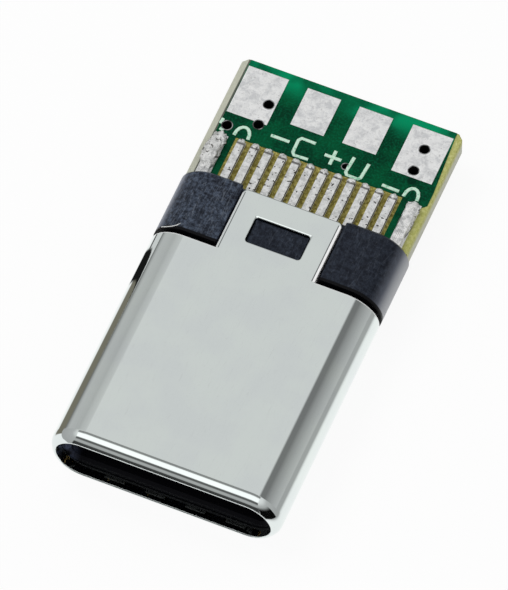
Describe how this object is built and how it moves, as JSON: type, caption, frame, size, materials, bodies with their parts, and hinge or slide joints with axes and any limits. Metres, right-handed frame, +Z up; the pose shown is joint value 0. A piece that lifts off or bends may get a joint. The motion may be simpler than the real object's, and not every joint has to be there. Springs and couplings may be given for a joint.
{
  "type": "usb-c plug",
  "caption": "Flat reversible plug with a deep-drawn steel shell, a black moulded housing, two rows of contacts and a small green circuit board with bare wire pads.",
  "frame": {"origin": "centre of the mouth, in the plane of the shell's front edge and of the two contact rows' middle", "axes": "+X across the plug to the right seen from the mouth, +Y from the mouth to the back of the board, +Z up out of the face with the wire pads"},
  "size_m": [0.0082, 0.0163, 0.0024],
  "materials": {
    "drawn_steel": "deep-drawn stainless steel, satin, bright at the edges",
    "black_moulding": "glass-filled moulding, near black, finely mottled, with light scratches",
    "spring_steel": "stamped spring steel, satin",
    "contact_alloy": "stamped copper alloy, tinned, with small dark flecks",
    "board_laminate": "bare glass-epoxy laminate, olive brown, paler at its sawn sides",
    "solder_mask": "green solder mask, semi-gloss",
    "tinned_copper": "copper with a matt tin finish, faintly mottled",
    "solder": "reflowed solder, lumpy, with small dark creases"
  },
  "bodies": {
    "root": {"bottom_solder_mask": "solder_mask", "circuit_board": "board_laminate", "front_housing": "black_moulding", "ground_lands": "tinned_copper", "ground_solder": "solder", "latch_plate": "spring_steel", "lower_contact_01": "contact_alloy", "lower_contact_02": "contact_alloy", "lower_contact_03": "contact_alloy", "lower_contact_04": "contact_alloy", "lower_contact_05": "contact_alloy", "lower_contact_06": "contact_alloy", "lower_contact_07": "contact_alloy", "lower_contact_08": "contact_alloy", "lower_contact_09": "contact_alloy", "lower_contact_10": "contact_alloy", "lower_contact_11": "contact_alloy", "lower_contact_12": "contact_alloy", "lower_contact_lands": "tinned_copper", "lower_contact_wafer": "black_moulding", "lower_ground_spring": "spring_steel", "lower_tail_solder": "solder", "plated_barrels": "tinned_copper", "rear_housing": "black_moulding", "shell": "drawn_steel", "top_solder_mask": "solder_mask", "upper_contact_01": "contact_alloy", "upper_contact_02": "contact_alloy", "upper_contact_03": "contact_alloy", "upper_contact_04": "contact_alloy", "upper_contact_05": "contact_alloy", "upper_contact_06": "contact_alloy", "upper_contact_07": "contact_alloy", "upper_contact_08": "contact_alloy", "upper_contact_09": "contact_alloy", "upper_contact_10": "contact_alloy", "upper_contact_11": "contact_alloy", "upper_contact_12": "contact_alloy", "upper_contact_lands": "tinned_copper", "upper_contact_wafer": "black_moulding", "upper_ground_spring": "spring_steel", "upper_tail_solder": "solder", "wire_pad_1": "tinned_copper", "wire_pad_2": "tinned_copper", "wire_pad_3": "tinned_copper", "wire_pad_4": "tinned_copper"}
  },
  "joints": []
}
